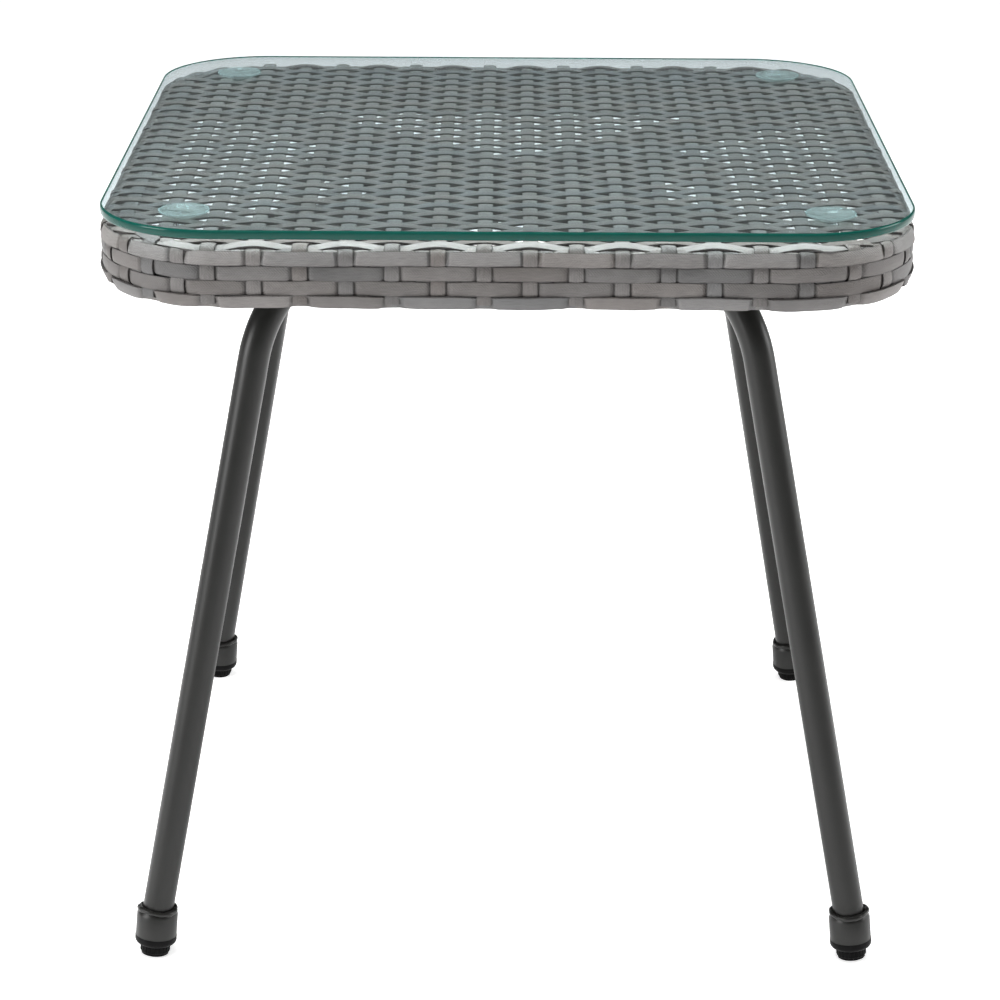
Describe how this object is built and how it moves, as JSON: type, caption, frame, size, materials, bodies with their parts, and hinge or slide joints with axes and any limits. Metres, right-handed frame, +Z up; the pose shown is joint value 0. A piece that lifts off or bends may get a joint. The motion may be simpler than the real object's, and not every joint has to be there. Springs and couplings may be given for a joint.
{
  "type": "wicker coffee table",
  "caption": "Low square garden coffee table: loose glass pane on suction cups over a woven-strand top with a woven band, on splayed bent-tube legs with levelling feet.",
  "frame": {"origin": "on the floor under the middle of the table", "axes": "+Z up, -Y the front side seen in the picture, +X to its right"},
  "size_m": [0.454, 0.454, 0.445],
  "materials": {
    "clear_glass": "clear float glass, green polished edge",
    "clear_cup": "clear soft plastic",
    "woven_strand": "warm grey embossed synthetic strand",
    "frame_paint": "powder coat, satin",
    "leg_paint": "powder coat, fine texture",
    "black_plastic": "moulded",
    "knob_plastic": "moulded, fluted",
    "dark_steel": "black oxide",
    "plain_steel": "zinc plated"
  },
  "bodies": {
    "table": {"suction_cup_front_left": "clear_cup", "suction_cup_front_right": "clear_cup", "suction_cup_back_right": "clear_cup", "suction_cup_back_left": "clear_cup", "wicker_top": "woven_strand", "wicker_apron": "woven_strand", "frame_rail_front": "frame_paint", "frame_rail_back": "frame_paint", "diagonal_tube_long": "frame_paint", "diagonal_tube_short_front": "frame_paint", "diagonal_tube_short_back": "frame_paint", "leg_front_left": "leg_paint", "leg_front_right": "leg_paint", "leg_back_right": "leg_paint", "leg_back_left": "leg_paint", "leg_end_cap_front_left": "black_plastic", "leg_end_cap_front_right": "black_plastic", "leg_end_cap_back_right": "black_plastic", "leg_end_cap_back_left": "black_plastic", "foot_socket_front_left": "leg_paint", "foot_socket_front_right": "leg_paint", "foot_socket_back_right": "leg_paint", "foot_socket_back_left": "leg_paint", "foot_insert_front_left": "black_plastic", "foot_insert_front_right": "black_plastic", "foot_insert_back_right": "black_plastic", "foot_insert_back_left": "black_plastic", "leg_bolts": "dark_steel", "rivet_nuts": "plain_steel", "bolt_saddles": "black_plastic"},
    "glass": {"glass_top": "clear_glass"},
    "pad_front_left": {"slip_pad_front_left": "black_plastic"},
    "knob_front_left": {"levelling_knob_front_left": "knob_plastic"},
    "pad_front_right": {"slip_pad_front_right": "black_plastic"},
    "knob_front_right": {"levelling_knob_front_right": "knob_plastic"},
    "pad_back_right": {"slip_pad_back_right": "black_plastic"},
    "knob_back_right": {"levelling_knob_back_right": "knob_plastic"},
    "pad_back_left": {"slip_pad_back_left": "black_plastic"},
    "knob_back_left": {"levelling_knob_back_left": "knob_plastic"}
  },
  "joints": [
    {"name": "glass_lift", "type": "slide", "parent": "table", "child": "glass", "axis": [0, 0, 1], "range_m": [0, 0.12]},
    {"name": "foot_travel_front_left", "type": "slide", "parent": "table", "child": "pad_front_left", "axis": [-0.0862, -0.0862, -0.9925], "range_m": [0, 0.005]},
    {"name": "foot_spin_front_left", "type": "hinge", "parent": "pad_front_left", "child": "knob_front_left", "pos_m": [-0.2053, -0.2053, 0.00097], "axis": [-0.0862, -0.0862, -0.9925], "range_deg": [0, 1440]},
    {"name": "foot_travel_front_right", "type": "slide", "parent": "table", "child": "pad_front_right", "axis": [0.0862, -0.0862, -0.9925], "range_m": [0, 0.005]},
    {"name": "foot_spin_front_right", "type": "hinge", "parent": "pad_front_right", "child": "knob_front_right", "pos_m": [0.2053, -0.2053, 0.00097], "axis": [0.0862, -0.0862, -0.9925], "range_deg": [0, 1440]},
    {"name": "foot_travel_back_right", "type": "slide", "parent": "table", "child": "pad_back_right", "axis": [0.0862, 0.0862, -0.9925], "range_m": [0, 0.005]},
    {"name": "foot_spin_back_right", "type": "hinge", "parent": "pad_back_right", "child": "knob_back_right", "pos_m": [0.2053, 0.2053, 0.00097], "axis": [0.0862, 0.0862, -0.9925], "range_deg": [0, 1440]},
    {"name": "foot_travel_back_left", "type": "slide", "parent": "table", "child": "pad_back_left", "axis": [-0.0862, 0.0862, -0.9925], "range_m": [0, 0.005]},
    {"name": "foot_spin_back_left", "type": "hinge", "parent": "pad_back_left", "child": "knob_back_left", "pos_m": [-0.2053, 0.2053, 0.00097], "axis": [-0.0862, 0.0862, -0.9925], "range_deg": [0, 1440]}
  ],
  "couplings": [
    {"joint": "foot_spin_front_left", "follows": "foot_travel_front_left", "rad_per_m": 5026.5},
    {"joint": "foot_spin_front_right", "follows": "foot_travel_front_right", "rad_per_m": 5026.5},
    {"joint": "foot_spin_back_right", "follows": "foot_travel_back_right", "rad_per_m": 5026.5},
    {"joint": "foot_spin_back_left", "follows": "foot_travel_back_left", "rad_per_m": 5026.5}
  ]
}
